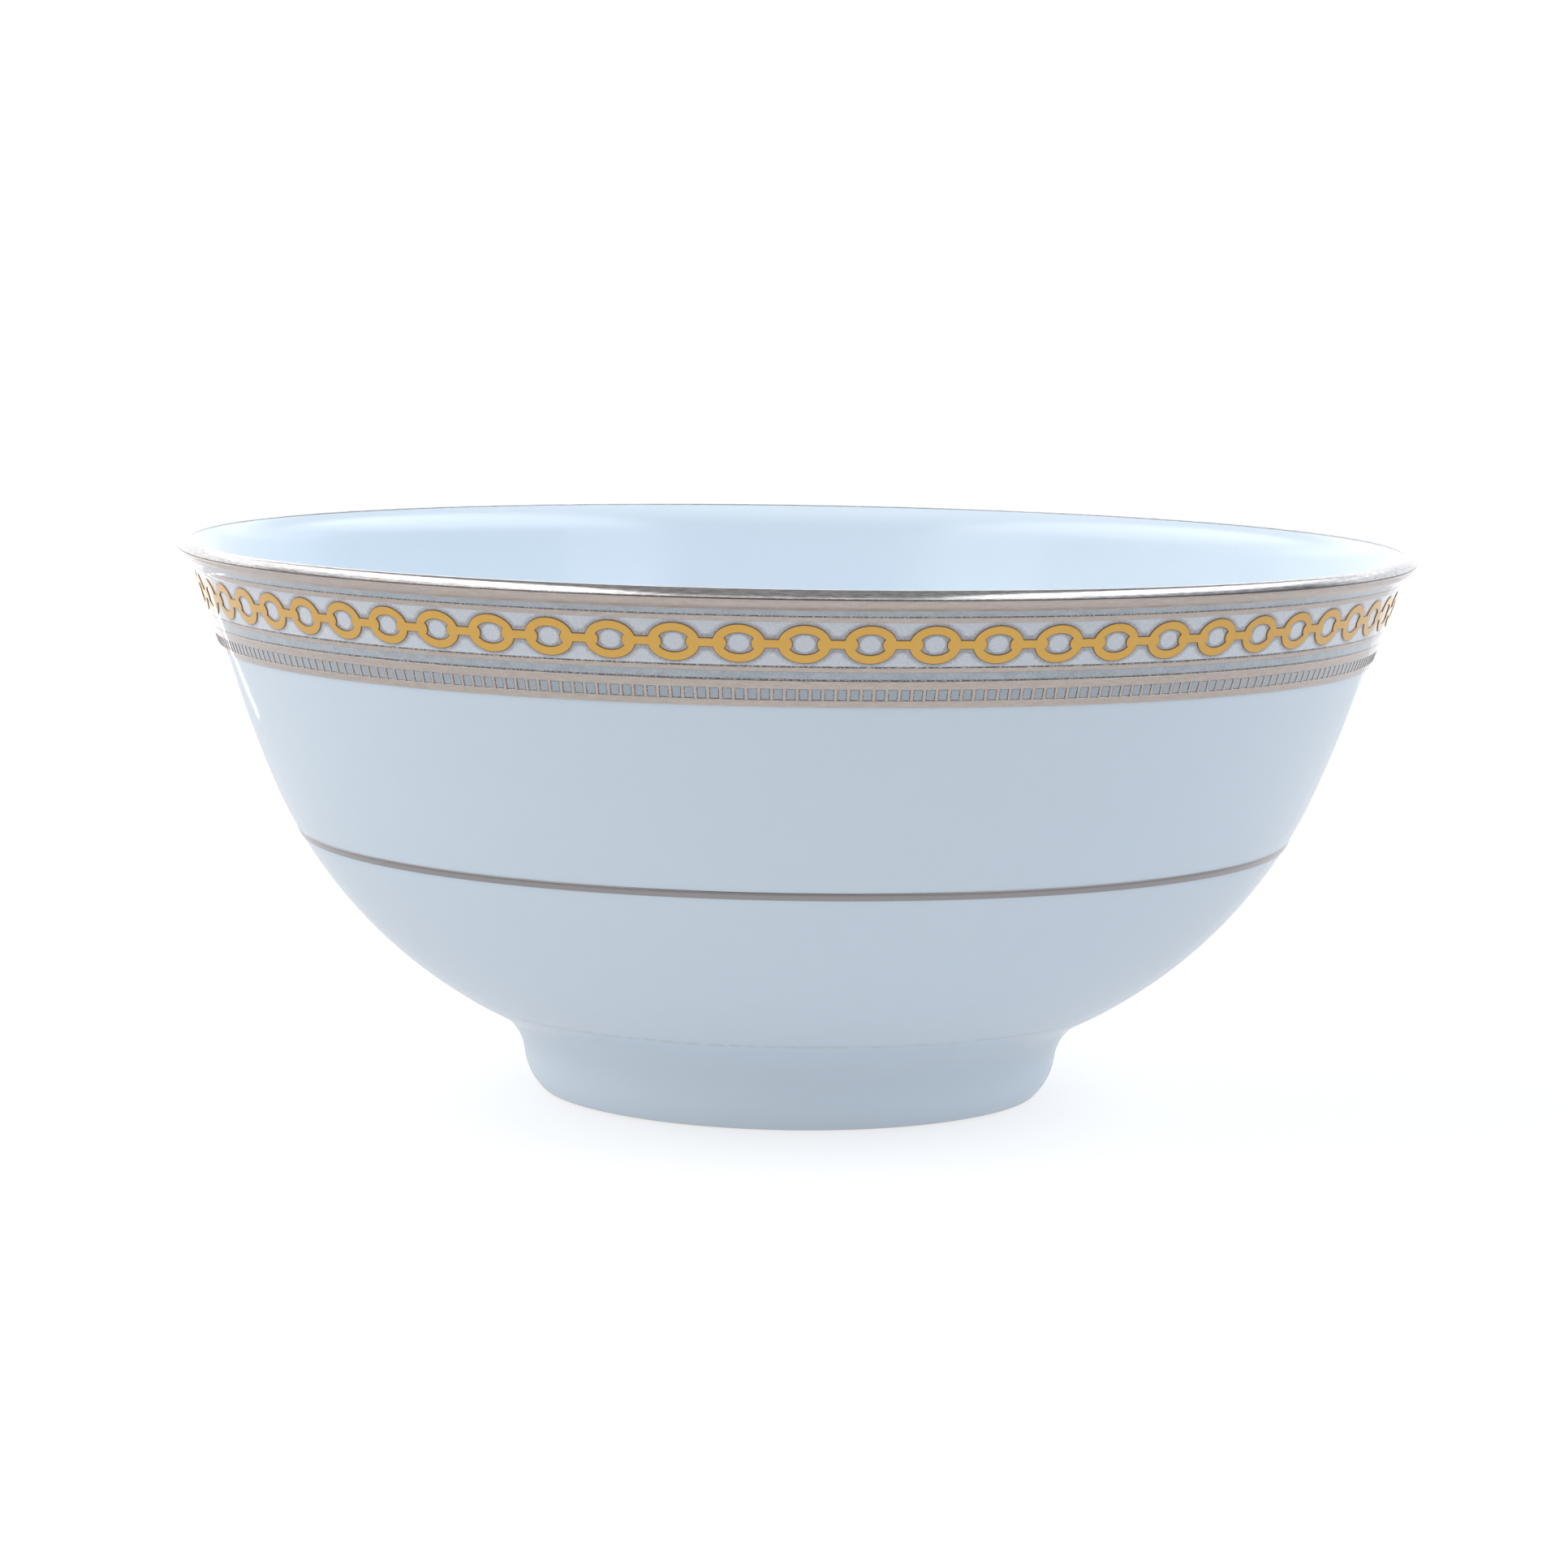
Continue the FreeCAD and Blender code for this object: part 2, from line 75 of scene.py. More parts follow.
# Luting seam left under the glaze where the slip was sponged off
SEAM_HEIGHT = 17.8 * MM
SEAM_SWELL = 0.06 * MM
SEAM_REACH = 0.5 * MM
SEAM_INSIDE = 57.3 * MM       # at the seam's height, between the inside and the outside skin

# Print and brushed metal
FILM = 0.08 * MM
FILM_SHOULDER = 0.05 * MM     # rounding of a film's edge
LIP_BAND_OVERLAP = 0.5 * MM   # lip band inside the crest
LINK_COUNT = 64
CHAIN_PHASE = 0.75            # turn of the first link from the front, degrees
LINK_LENGTH = 8.65 * MM
LINK_HEIGHT = 6.6 * MM
SPOT_LENGTH = 3.4 * MM        # pale middle inside each link, left clear of the painted shade
SPOT_HEIGHT = 3.0 * MM
BAR_WIDTH = 1.4 * MM
WINDOWS_PER_LINK = 5
RUNG_WIDTH = 0.5 * MM

# Mesh
STEPS = 360                   # round the axis
SPACING = 2.0 * MM            # along the section
HIDDEN_SPACING = 8.0 * MM     # along it where the glaze meets the clay
TURN = 7.5                    # degrees of an arc between two section points
HIDDEN_TURN = 22.0
FLAT_RINGS = 8                # rings of faces on a flat floor
FILM_SPACING = 0.6 * MM       # across a band or line
JOIN = 0.001 * MM             # closer vertices are one
SHARP = math.radians(32)


# The turned section ------------------------------------------------------------------------

def polar(centre, radius, angle):
    turn = math.radians(angle)
    return (centre[0] + radius * math.cos(turn), centre[1] + radius * math.sin(turn))


class Arc:
    """A round stretch of the section, as radius and height. A hollow stretch has its centre on
    the open side of the skin."""

    def __init__(self, centre, radius, start, end, hollow=False):
        self.centre = centre
        self.radius = radius
        self.start = start
        self.end = end
        self.outward = -1 if hollow else 1
        self.length = abs(math.radians(end - start)) * radius

    def point(self, part, lift=0.0):
        angle = self.start + part * (self.end - self.start)
        return polar(self.centre, self.radius + self.outward * lift, angle)

    def pieces(self, spacing, turn):
        turned = abs(self.end - self.start) / turn
        return max(1, math.ceil(max(self.length / spacing, turned)))

    def part_at(self, angle):
        return (angle - self.start) / (self.end - self.start)

    def part_at_radius(self, radius):
        """Where the arc, below its centre, passes a radius."""
        return self.part_at(-math.degrees(math.acos((radius - self.centre[0]) / self.radius)))

    def cut(self, first, last):
        """The stretch of the arc between two shares of it."""
        whole = self.end - self.start
        return Arc(self.centre, self.radius, self.start + first * whole,
                   self.start + last * whole, self.outward < 0)


def outer_wall():
    """Skin from the crest of the lip down the outside and under the floor."""
    lip = (RIM_RADIUS - WALL / 2, BOWL_HEIGHT - WALL / 2)
    lip_end = polar(lip, WALL / 2, LIP_LEAN - 90)
    flare_centre = polar(lip_end, FLARE_RADIUS, LIP_LEAN - 90)
    wall_top = polar(flare_centre, FLARE_RADIUS, WALL_LEAN + 90)
    turn_centre = (FLOOR_RADIUS, FLOOR_HEIGHT + FLOOR_TURN_RADIUS)
    belly_foot = polar(turn_centre, FLOOR_TURN_RADIUS, FLOOR_LEAN - 90)

    # Two tangent arcs join the floor's turn to the flare; their radii close the gap between them.
    floor_lean, belly_lean, wall_lean = (math.radians(lean)
                                         for lean in (FLOOR_LEAN, BELLY_LEAN, WALL_LEAN))
    belly_out = math.sin(belly_lean) - math.sin(floor_lean)
    belly_up = math.cos(floor_lean) - math.cos(belly_lean)
    wall_out = math.sin(wall_lean) - math.sin(belly_lean)
    wall_up = math.cos(belly_lean) - math.cos(wall_lean)
    out = wall_top[0] - belly_foot[0]
    up = wall_top[1] - belly_foot[1]
    shared = belly_out * wall_up - wall_out * belly_up
    belly_radius = (out * wall_up - wall_out * up) / shared
    wall_radius = (belly_out * up - belly_up * out) / shared
    return {
        "lip": Arc(lip, WALL / 2, 90, LIP_LEAN - 90),
        "flare": Arc(flare_centre, FLARE_RADIUS, LIP_LEAN + 90, WALL_LEAN + 90, hollow=True),
        "wall": Arc(polar(wall_top, wall_radius, WALL_LEAN + 90), wall_radius,
                    WALL_LEAN - 90, BELLY_LEAN - 90),
        "belly": Arc(polar(belly_foot, belly_radius, FLOOR_LEAN + 90), belly_radius,
                     BELLY_LEAN - 90, FLOOR_LEAN - 90),
        "turn": Arc(turn_centre, FLOOR_TURN_RADIUS, FLOOR_LEAN - 90, -90),
    }


def inner_wall(outer):
    """Skin from the crest of the lip down the inside to the edge of the flat floor."""
    lip, flare = outer["lip"], outer["flare"]
    inside = [Arc(lip.centre, lip.radius, 90, LIP_LEAN + 90),
              Arc(flare.centre, flare.radius + WALL, flare.start, flare.end)]
    for name in ("wall", "belly", "turn"):
        arc = outer[name]
        inside.append(Arc(arc.centre, arc.radius - WALL, arc.start, arc.end, hollow=True))
    return inside


def foot_skin(belly):
    """The swelling side of the foot, its toe, and the hollow curve of slip over it."""
    swell = FOOT_SIDE_RADIUS - FOOT_TOE_RADIUS
    side_centre = (FOOT_RADIUS - GLAZE - FOOT_SIDE_RADIUS,
                   FOOT_TOE_RADIUS + swell * math.sin(math.radians(90 - FOOT_TOE_LEAN)))
    toe_centre = polar(side_centre, swell, FOOT_TOE_LEAN - 90)
    slip = slip_curve(belly, side_centre)
    neck = slip.centre[0] - slip.radius - GLAZE - NECK_COVER - side_centre[0]
    shoulder = math.degrees(math.acos(neck / FOOT_SIDE_RADIUS))
    side = Arc(side_centre, FOOT_SIDE_RADIUS + GLAZE, shoulder, FOOT_TOE_LEAN - 90)
    toe = Arc(toe_centre, FOOT_TOE_RADIUS + GLAZE, FOOT_TOE_LEAN - 90, -90)
    return side, toe, slip


def slip_curve(belly, side_centre):
    """Hollow curve tangent to the belly above and to the side of the foot below."""
    reach_belly = belly.radius + FILLET_RADIUS
    reach_side = FOOT_SIDE_RADIUS + GLAZE + FILLET_RADIUS
    across = side_centre[0] - belly.centre[0]
    down = belly.centre[1] - side_centre[1]
    apart = math.hypot(across, down)
    along = (reach_belly ** 2 - reach_side ** 2 + apart ** 2) / (2 * apart)
    aside = math.sqrt(reach_belly ** 2 - along ** 2)
    unit = (across / apart, -down / apart)
    centre = (belly.centre[0] + along * unit[0] - aside * unit[1],
              belly.centre[1] + along * unit[1] + aside * unit[0])
    to_belly = math.degrees(math.atan2(belly.centre[1] - centre[1], belly.centre[0] - centre[0]))
    to_side = math.degrees(math.atan2(side_centre[1] - centre[1], side_centre[0] - centre[0]))
    return Arc(centre, FILLET_RADIUS, to_belly, to_side % 360, hollow=True)


def sampled(arcs, lift, spacing=SPACING, turn=TURN):
    """Section points along arcs that follow each other."""
    points = [arcs[0].point(0.0, lift)]
    for arc in arcs:
        count = arc.pieces(spacing, turn)
        points += [arc.point((step + 1) / count, lift) for step in range(count)]
    return points


OUTER = outer_wall()
INNER = inner_wall(OUTER)
SIDE, TOE, SLIP = foot_skin(OUTER["belly"])
BANDED = [OUTER[name] for name in ("lip", "flare", "wall", "belly")]


def banded_point(distance, lift):
    """Section point at a distance down the outside from the crest; before it, inside the lip."""
    arcs = BANDED
    if distance < 0:
        arcs = [INNER[0]]
        distance = -distance
    for arc in arcs:
        if distance <= arc.length:
            return arc.point(distance / arc.length, lift)
        distance -= arc.length
    return arcs[-1].point(1.0, lift)


def distance_at_height(height):
    """How far down the outside from the crest the skin passes a height."""
    near, far = 0.0, sum(arc.length for arc in BANDED)
    for _ in range(50):
        middle = (near + far) / 2
        if banded_point(middle, 0)[1] > height:
            near = middle
        else:
            far = middle
    return near


# Modelling -----------------------------------------------------------------------------------

def begin(name):
    """A single vertex at the origin, in edit mode, ready to be drawn out."""
    bpy.ops.object.select_all(action="DESELECT")
    bpy.ops.mesh.primitive_plane_add(size=MM)
    piece = bpy.context.object
    piece.name = piece.data.name = name
    bpy.ops.object.mode_set(mode="EDIT")
    bpy.ops.mesh.select_all(action="SELECT")
    bpy.ops.mesh.merge(type="CENTER")
    return piece


def draw(points):
    """Extrudes the one vertex along section points."""
    bpy.ops.transform.translate(value=(points[0][0], 0, points[0][1]))
    for before, after in zip(points, points[1:]):
        move = (after[0] - before[0], 0, after[1] - before[1])
        bpy.ops.mesh.extrude_vertices_move(TRANSFORM_OT_translate={"value": move})


def close_outline(piece):
    """An edge from the last drawn vertex back to the first."""
    bpy.ops.mesh.select_all(action="DESELECT")
    mesh = bmesh.from_edit_mesh(piece.data)
    mesh.select_mode = {"VERT"}
    for vertex in mesh.verts:
        if len(vertex.link_edges) == 1:
            vertex.select = True
    mesh.select_flush_mode()
    bmesh.update_edit_mesh(piece.data)
    bpy.ops.mesh.edge_face_add()


def turned(name, points, closed=True):
    """A solid of revolution spun from its outline. An open outline starts and ends on the axis."""
    piece = begin(name)
    draw(points)
    if closed:
        close_outline(piece)
    bpy.ops.mesh.select_all(action="SELECT")
    bpy.ops.mesh.spin(steps=STEPS, angle=2 * math.pi, center=(0, 0, 0), axis=(0, 0, 1))
    bpy.ops.mesh.select_all(action="SELECT")
    bpy.ops.mesh.remove_doubles(threshold=JOIN)
    bpy.ops.mesh.normals_make_consistent(inside=False)
    bpy.ops.object.mode_set(mode="OBJECT")
    bpy.ops.object.shade_smooth_by_angle(angle=SHARP)
    return piece


def film_outline(start, end, thickness):
    """Outline of a film on the outside skin between two distances, its outer edges rounded."""
    count = max(2, math.ceil((end - start) / FILM_SPACING))
    shoulder = min(FILM_SHOULDER, (end - start) / 5)
    corner = shoulder * 0.3
    steps = [start + (end - start) * step / count for step in range(1, count)]
    top = [(start, 0.0), (start + corner, thickness * 0.7), (start + shoulder, thickness)]
    top += [(step, thickness) for step in steps if start + shoulder < step < end - shoulder]
    top += [(end - shoulder, thickness), (end - corner, thickness * 0.7), (end, 0.0)]
    return [banded_point(*place) for place in top + [(step, 0.0) for step in reversed(steps)]]


# Material maths ------------------------------------------------------------------------------

GLAZE_IOR = 1.52
PRINT_IOR = 1.5
FLUX = 0.8                    # share of the glossy flux over prints and films
FLUX_ROUGHNESS = 0.06
STIPPLE = 0.4 * MM            # lumps in the painted shade of the grey grounds
GRAIN = 0.22 * MM             # lumps of a fired metal


class Value:
    """A socket in a tree of nodes. Operators on it add Math nodes."""

    def __init__(self, nodes, socket):
        self.nodes = nodes
        self.socket = socket

    def maths(self, operation, *others):
        sockets = dict(enumerate((self,) + others))
        return self.nodes.add("Math", {"operation": operation}, sockets)

    def __add__(self, other):
        return self.maths("ADD", other)

    def __sub__(self, other):
        return self.maths("SUBTRACT", other)

    def __rsub__(self, other):
        return (self * -1) + other

    def __mul__(self, other):
        return self.maths("MULTIPLY", other)

    def __truediv__(self, other):
        return self.maths("DIVIDE", other)

    def __pow__(self, other):
        return self.maths("POWER", other)

    def __abs__(self):
        return self.maths("ABSOLUTE")

    __radd__ = __add__
    __rmul__ = __mul__

    def above(self, edge, soft):
        """0 under an edge, 1 over it, smooth between."""
        span = {"Value": self, "From Min": edge - soft / 2, "From Max": edge + soft / 2}
        return self.nodes.add("MapRange", {"interpolation_type": "SMOOTHSTEP"}, span, "Result")

    def between(self, low, high, soft):
        """1 between two edges, 0 outside them, smooth between."""
        return self.above(low, soft) * (1 - self.above(high, soft))


class Nodes:
    """A tree of shader nodes."""

    def __init__(self, owner):
        owner.use_nodes = True
        self.tree = owner.node_tree
        self.tree.nodes.clear()

    def add(self, kind, settings, inputs, output=0):
        """A node of a kind: its settings first, then its sockets' values or links."""
        node = self.tree.nodes.new("ShaderNode" + kind)
        for name, value in settings.items():
            setattr(node, name, value)
        for name, value in inputs.items():
            socket = self.socket(node.inputs, name)
            if isinstance(value, Value):
                self.tree.links.new(value.socket, socket)
            else:
                socket.default_value = value
        if output is None:
            return None
        return Value(self, self.socket(node.outputs, output))

    @staticmethod
    def socket(sockets, name):
        if isinstance(name, int):
            return sockets[name]
        return next(socket for socket in sockets if socket.enabled and socket.name == name)

    def blend(self, amount, low, high):
        """Colour that goes from low to high as an amount goes from 0 to 1."""
        colours = {"Factor": amount, "A": low, "B": high}
        return self.add("Mix", {"data_type": "RGBA"}, colours, "Result")


class Finish(Nodes):
    """A procedural material on a piece's own coordinates."""

    def __init__(self, name):
        self.material = bpy.data.materials.new(name)
        super().__init__(self.material)
        self.place = self.add("TexCoord", {}, {}, "Object")
        self.parts = {}

    def axis(self, name):
        """Object coordinate along an axis, in metres."""
        if name not in self.parts:
            self.parts[name] = self.add("SeparateXYZ", {}, {"Vector": self.place}, name)
        return self.parts[name]

    def turn(self):
        """Angle round the bowl from the front, in turns, and the radius."""
        x, y = self.axis("X"), self.axis("Y")
        return x.maths("ARCTAN2", y * -1) / (2 * math.pi), (x * x + y * y) ** 0.5

    def pitch(self, count):
        """Where a point lies in a pattern that repeats round the bowl with its first middle at
        the first link: -0.5 to 0.5 across one repeat, and the radius."""
        angle, radius = self.turn()
        place = angle * count - CHAIN_PHASE * count / 360
        return place - place.maths("ROUND"), radius

    def noise(self, size, detail=2.0, rough=0.5, place=None, seed=0.0):
        """Soft noise, 0 to 1, with lumps of about a size in metres."""
        sockets = {"Vector": place or self.place, "W": seed, "Scale": 1 / size,
                   "Detail": detail, "Roughness": rough}
        return self.add("TexNoise", {"noise_dimensions": "4D"}, sockets, "Fac")

    def along(self, stretch):
        """Coordinates stretched round the bowl, for grain that a banding wheel leaves."""
        angle, radius = self.turn()
        sockets = {"X": angle * (2 * math.pi * RIM_RADIUS / stretch), "Y": self.axis("Z"),
                   "Z": radius}
        return self.add("CombineXYZ", {}, sockets)

    def bump(self, height, depth):
        """Normal for a height of 0 to 1 that stands for a depth in metres."""
        return self.add("Bump", {}, {"Height": height, "Strength": 1.0, "Distance": depth})

    def fired(self, sockets):
        """A print or metal film, sunk in the glossy flux it was fired with."""
        return self.surface(sockets | {"Coat Weight": FLUX, "Coat Roughness": FLUX_ROUGHNESS})

    def surface(self, sockets):
        shader = self.add("BsdfPrincipled", {}, sockets)
        self.add("OutputMaterial", {}, {"Surface": shader}, None)
        return self.material


# Finishes ------------------------------------------------------------------------------------

def rgb(red, green, blue):
    return (red, green, blue, 1.0)


def porcelain_glaze(name, tint, shade):
    """Clear bluish glaze over white porcelain: faint mottle, a fine grain, gentle waviness."""
    finish = Finish(name)
    grain = finish.noise(0.45 * MM, 3.0, 0.7)
    mottle = finish.noise(6 * MM, 2.0)
    colour = finish.blend(grain * 0.6 + mottle * 0.4, shade, tint)
    wander = finish.noise(9 * MM, 1.0) * (0.5 * MM) - 0.25 * MM
    seam = 1 - abs(finish.axis("Z") + wander - SEAM_HEIGHT).above(0.3 * MM, 0.5 * MM)
    broken = finish.noise(2.5 * MM, 2.0, seed=4.0).above(0.45, 0.2)
    outside = finish.turn()[1].above(SEAM_INSIDE, 2 * MM)
    colour = finish.blend(seam * broken * outside * 0.35, colour, rgb(0.50, 0.53, 0.50))
    waves = finish.noise(14 * MM, 1.0) + finish.noise(1.1 * MM, 1.0) * 0.03
    return finish.surface({"Base Color": colour, "Roughness": 0.06 + mottle * 0.05,
                           "IOR": GLAZE_IOR, "Normal": finish.bump(waves, 0.05 * MM)})


def bare_clay(name, tint):
    """Fired porcelain with no glaze: dry, fine and slightly specked."""
    finish = Finish(name)
    grain = finish.noise(0.3 * MM, 4.0, 0.7)
    specks = finish.noise(0.9 * MM, 1.0, seed=2.0).above(0.74, 0.04)
    colour = finish.blend(grain, tint, rgb(0.86, 0.85, 0.81))
    colour = finish.blend(specks * 0.5, colour, rgb(0.42, 0.38, 0.33))
    return finish.surface({"Base Color": colour, "Roughness": 0.62 + grain * 0.2,
                           "Normal": finish.bump(grain, 0.03 * MM)})


def brushed_metal(name, dark, light, rough, stretch=6.0):
    """Thin burnished metal film with grain left by the brush and the wheel."""
    finish = Finish(name)
    streaks = finish.noise(0.35 * MM, 3.0, 0.6, finish.along(stretch))
    grain = finish.noise(GRAIN, 2.0, 0.7)
    mask = (streaks * 0.55 + grain * 0.45).above(0.5, 0.45)
    return finish.fired({"Base Color": finish.blend(mask, dark, light), "Metallic": 1.0,
                         "Roughness": rough + grain * 0.12,
                         "Normal": finish.bump(streaks, 0.006 * MM)})


def lip_metal():
    """Mirror bright platinum on the lip, speckled, with a painted dark reflection where it meets
    the wide band.
    """
    finish = Finish("lip_platinum")
    lower_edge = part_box("lip_band")[0].z
    streaks = finish.noise(0.25 * MM, 3.0, 0.6, finish.along(9.0))
    ragged = finish.noise(0.35 * MM, 3.0, 0.8, finish.along(1.6)) * (0.5 * MM)
    # painted dark reflection along the lower edge of the lip band
    edge = 1 - (finish.axis("Z") + ragged).above(lower_edge + 0.42 * MM, 0.16 * MM)
    plain = finish.blend(streaks.above(0.5, 0.4), rgb(0.42, 0.40, 0.39), rgb(0.70, 0.68, 0.67))
    colour = finish.blend(edge * 0.85, plain, rgb(0.10, 0.09, 0.085))
    return finish.surface({"Base Color": colour, "Metallic": 1.0,
                           "Roughness": 0.10 + edge * 0.3 + streaks * 0.06,
                           "Normal": finish.bump(streaks, 0.008 * MM)})


def belly_metal():
    """Platinum line round the belly, brushed on thinly, with painted shade darkening its upper
    edge.
    """
    finish = Finish("belly_platinum")
    low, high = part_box("belly_line")
    ragged = finish.noise(0.5 * MM, 3.0, 0.7, finish.along(3.0)) * (0.35 * MM)
    # painted shade along the line's upper edge
    upper = (finish.axis("Z") + ragged).above(high.z - 0.30 * MM, 0.3 * MM)
    grain = finish.noise(GRAIN, 2.0, 0.7)
    plain = finish.blend(grain, rgb(0.31, 0.285, 0.28), rgb(0.41, 0.38, 0.375))
    colour = finish.blend(upper * 0.7, plain, rgb(0.22, 0.19, 0.18))
    return finish.fired({"Base Color": colour, "Metallic": 1.0,
                         "Roughness": 0.32 + grain * 0.1,
                         "Normal": finish.bump(grain, 0.005 * MM)})


def painted_shade_ground(name, dark, light):
    """Stippled grey: painted shade of the white glaze between the metal lines, under the fired
    flux.
    """
    finish = Finish(name)
    stipple = finish.noise(STIPPLE, 2.0, 0.8)
    cloud = finish.noise(1.6 * MM, 2.0, 0.6, finish.along(2.0))
    mask = (stipple * 0.6 + cloud * 0.4).above(0.5, 0.35)
    return finish.fired({"Base Color": finish.blend(mask, dark, light),
                         "Roughness": 0.2 + stipple * 0.1, "IOR": PRINT_IOR})


def chain_ground():
    """Pale ground with a grey stippled painted shade that hugs each link and each bar."""
    finish = Finish("chain_ground_print")
    low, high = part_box("chain_ground")
    middle = (low.z + high.z) / 2
    lower_radius = banded_point(distance_at_height(low.z), 0)[0]
    slope = (high.z - low.z) / math.hypot(high.z - low.z, high.x - lower_radius)
    share, radius = finish.pitch(LINK_COUNT)
    across = share * radius * (2 * math.pi / LINK_COUNT)
    up = (finish.axis("Z") - middle) / slope

    def oval(length, height):
        return ((across * (2 / length)) ** 2 + (up * (2 / height)) ** 2) ** 0.5

    ragged = (finish.noise(0.3 * MM, 2.0, 0.7) - 0.5) * 0.22
    outside = (oval(LINK_LENGTH, LINK_HEIGHT) + ragged).above(1.17, 0.26)
    bars = (abs(up) / BAR_WIDTH + ragged).above(1.1, 0.5)
    spot = 1 - (oval(SPOT_LENGTH, SPOT_HEIGHT) + ragged).above(0.98, 0.3)
    # grey painted shade round the links and bars, pale where the glaze is clear of it
    pale = (outside * bars).maths("MAXIMUM", spot)
    stipple = finish.noise(STIPPLE, 2.0, 0.8).above(0.5, 0.5)
    shade = finish.blend(stipple, rgb(0.32, 0.32, 0.34), rgb(0.52, 0.51, 0.52))
    ground = finish.blend(stipple, rgb(0.64, 0.68, 0.73), rgb(0.74, 0.77, 0.81))
    return finish.fired({"Base Color": finish.blend(pale, shade, ground),
                         "Roughness": 0.2 + stipple * 0.1, "IOR": PRINT_IOR})


def window_ground():
    """Grey painted shade in the windows of the ladder band, with a dotted dark line of painted
    shade round each window.
    """
    finish = Finish("window_painted_shade")
    low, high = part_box("ladder_ground")
    middle = distance_at_height((low.z + high.z) / 2)
    half = distance_at_height(low.z) - middle
    slope = (high.z - low.z) / (2 * half)
    windows = LINK_COUNT * WINDOWS_PER_LINK
    share, radius = finish.pitch(windows)
    to_rung = (0.5 - abs(share)) * radius * (2 * math.pi / windows) - RUNG_WIDTH / 2
    to_rail = half - abs(finish.axis("Z") - (low.z + high.z) / 2) / slope
    dots = finish.noise(0.25 * MM, 2.0, 0.7).above(0.46, 0.1)
    # dotted painted shade along the metal round each window
    line = (1 - to_rung.maths("MINIMUM", to_rail).above(0.15 * MM, 0.12 * MM)) * dots
    stipple = finish.noise(STIPPLE, 2.0, 0.8)
    ground = finish.blend(stipple, rgb(0.33, 0.37, 0.41), rgb(0.50, 0.55, 0.60))
    return finish.fired({"Base Color": finish.blend(line, ground, rgb(0.12, 0.12, 0.12)),
                         "Roughness": 0.2 + stipple * 0.1, "IOR": PRINT_IOR})


def keyline_painted_shade():
    """Painted shade along the edge of a metal line, broken into irregular dark dots and dashes."""
    finish = Finish("keyline_painted_shade")
    dots = finish.noise(0.30 * MM, 2.0, 0.8, finish.along(1.2)).above(0.46, 0.12)
    colour = finish.blend(dots, rgb(0.50, 0.49, 0.48), rgb(0.10, 0.085, 0.08))
    return finish.fired({"Base Color": colour, "Roughness": 0.35, "IOR": PRINT_IOR})


def outline_painted_shadow():
    """Thin brown painted shadow round the edges of the raised gold."""
    finish = Finish("outline_painted_shadow")
    grain = finish.noise(0.3 * MM, 2.0, 0.7)
    colour = finish.blend(grain, rgb(0.10, 0.06, 0.035), rgb(0.28, 0.19, 0.12))
    return finish.fired({"Base Color": colour, "Roughness": 0.4, "IOR": PRINT_IOR})


def fired_gold():
    """Matt fired gold, flat ochre with a faint grain."""
    finish = Finish("fired_gold")
    cloud = finish.noise(1.5 * MM, 2.0)
    grain = finish.noise(0.2 * MM, 2.0, 0.7)
    mask = grain * 0.6 + cloud * 0.4
    colour = finish.blend(mask, rgb(0.72, 0.39, 0.07), rgb(0.86, 0.53, 0.12))
    return finish.fired({"Base Color": colour, "Metallic": 1.0,
                         "Roughness": 0.38 + grain * 0.12,
                         "Normal": finish.bump(grain, 0.006 * MM)})


GLAZE_FINISH = porcelain_glaze("porcelain_glaze", rgb(0.74, 0.83, 0.91), rgb(0.70, 0.80, 0.88))
WELL_FINISH = porcelain_glaze("well_glaze", rgb(0.70, 0.79, 0.87), rgb(0.66, 0.75, 0.83))
CLAY_FINISH = bare_clay("bare_clay", rgb(0.78, 0.77, 0.73))
SLIP_FINISH = bare_clay("slip_clay", rgb(0.80, 0.79, 0.76))
PLATINUM_FINISH = brushed_metal("platinum_print", rgb(0.47, 0.40, 0.35), rgb(0.64, 0.55, 0.49),
                                0.30)
LIP_FINISH = lip_metal()
BELLY_FINISH = belly_metal()
GREY_FINISH = painted_shade_ground("grey_print", rgb(0.36, 0.40, 0.44), rgb(0.53, 0.57, 0.61))
CHAIN_GROUND_FINISH = chain_ground()
WINDOW_FINISH = window_ground()
KEYLINE_FINISH = keyline_painted_shade()
OUTLINE_FINISH = outline_painted_shadow()
GOLD_FINISH = fired_gold()


# Pieces --------------------------------------------------------------------------------------

def finished(piece, node, material):
    """Hands a modelled piece over: its material, its body and the solid it stands for."""
    piece.data.materials.clear()
    piece.data.materials.append(material)
    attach(piece, "root")
    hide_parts(node)


def kept(node, material):
    """A solid of the frame whose shape is right, with its finish."""
    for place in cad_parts[node].material_slots:
        place.material = material


def seamed(points):
    """The skin with the low swell, out and down, that the luting seam leaves under the glaze."""
    swelled = []
    for radius, height in points:
        swell = SEAM_SWELL * math.exp(-((height - SEAM_HEIGHT) / SEAM_REACH) ** 2)
        swelled.append((radius + swell * 0.5, height - swell * 0.85))
    return swelled


def flat_floor(height):
    """Section points of a flat floor from the axis to just inside its edge."""
    return [(FLOOR_RADIUS * step / FLAT_RINGS, height) for step in range(FLAT_RINGS)]


